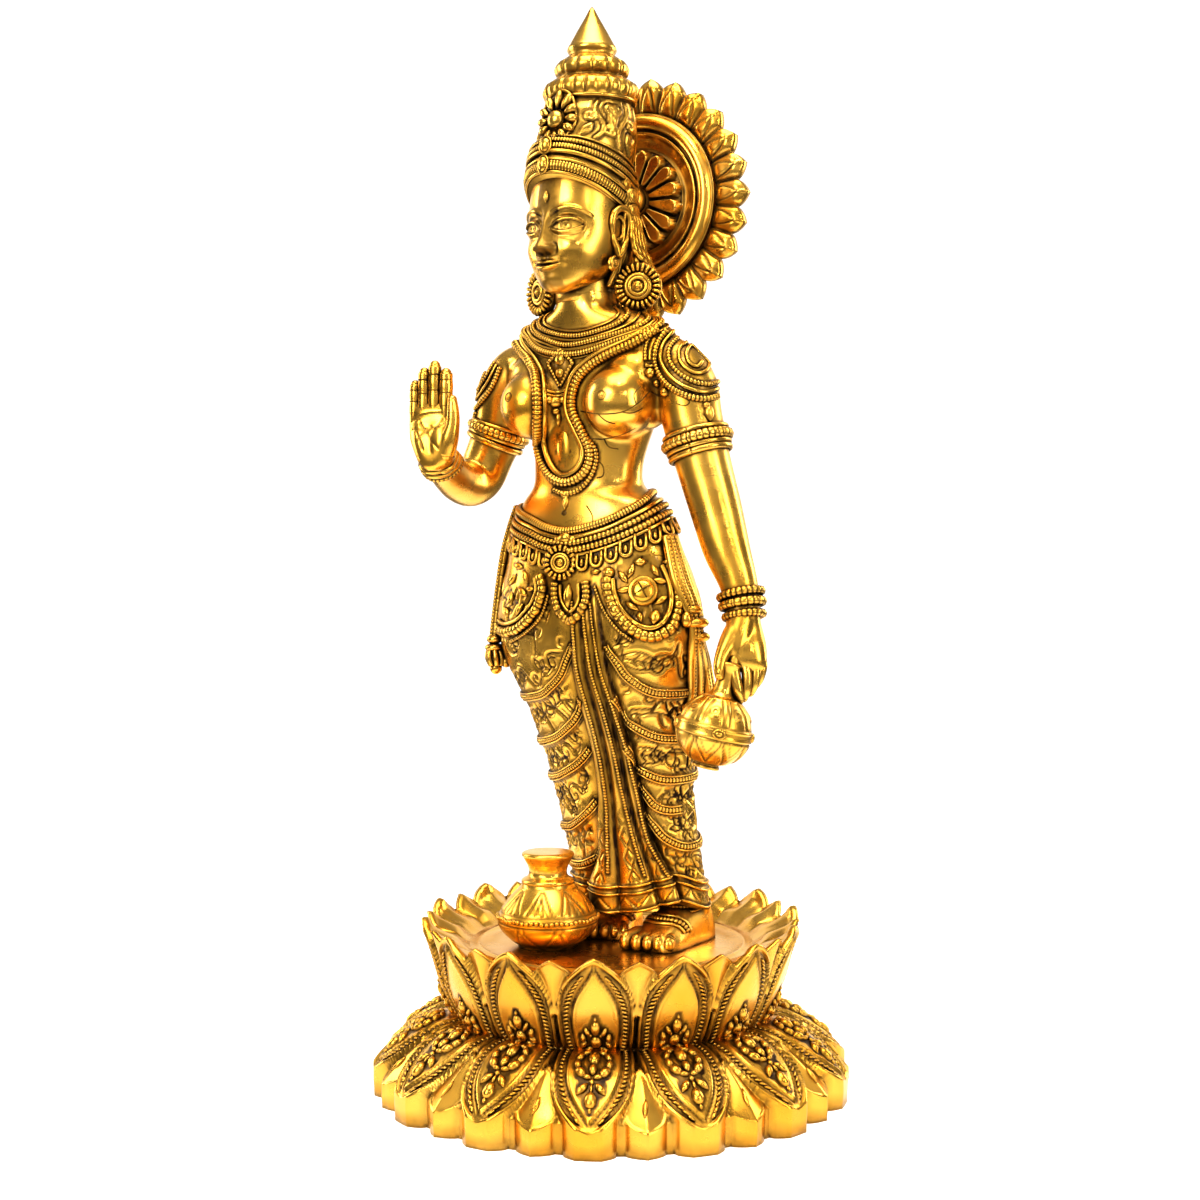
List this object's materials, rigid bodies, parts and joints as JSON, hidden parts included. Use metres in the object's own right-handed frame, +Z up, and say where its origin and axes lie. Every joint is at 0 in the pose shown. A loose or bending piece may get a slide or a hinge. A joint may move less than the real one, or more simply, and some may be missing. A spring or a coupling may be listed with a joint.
{
  "type": "standing goddess idol",
  "caption": "Cast brass goddess idol on a two-tier lotus plinth, one palm raised, a small pot in the other hand, petalled halo behind the head and a water pot at the feet",
  "frame": {"origin": "middle of the underside of the plinth", "axes": "+Z up, the idol faces -Y, its left side is +X"},
  "size_m": [0.196, 0.2, 0.453],
  "materials": {
    "polished_brass": "polished, with dark patina left in the recesses",
    "plinth_brass": "satin, with dark patina left in the recesses"
  },
  "bodies": {
    "root": {"lotus_skirt": "plinth_brass", "lotus_cup": "plinth_brass", "water_pot": "polished_brass", "goddess_figure": "polished_brass", "halo": "polished_brass"}
  },
  "joints": []
}
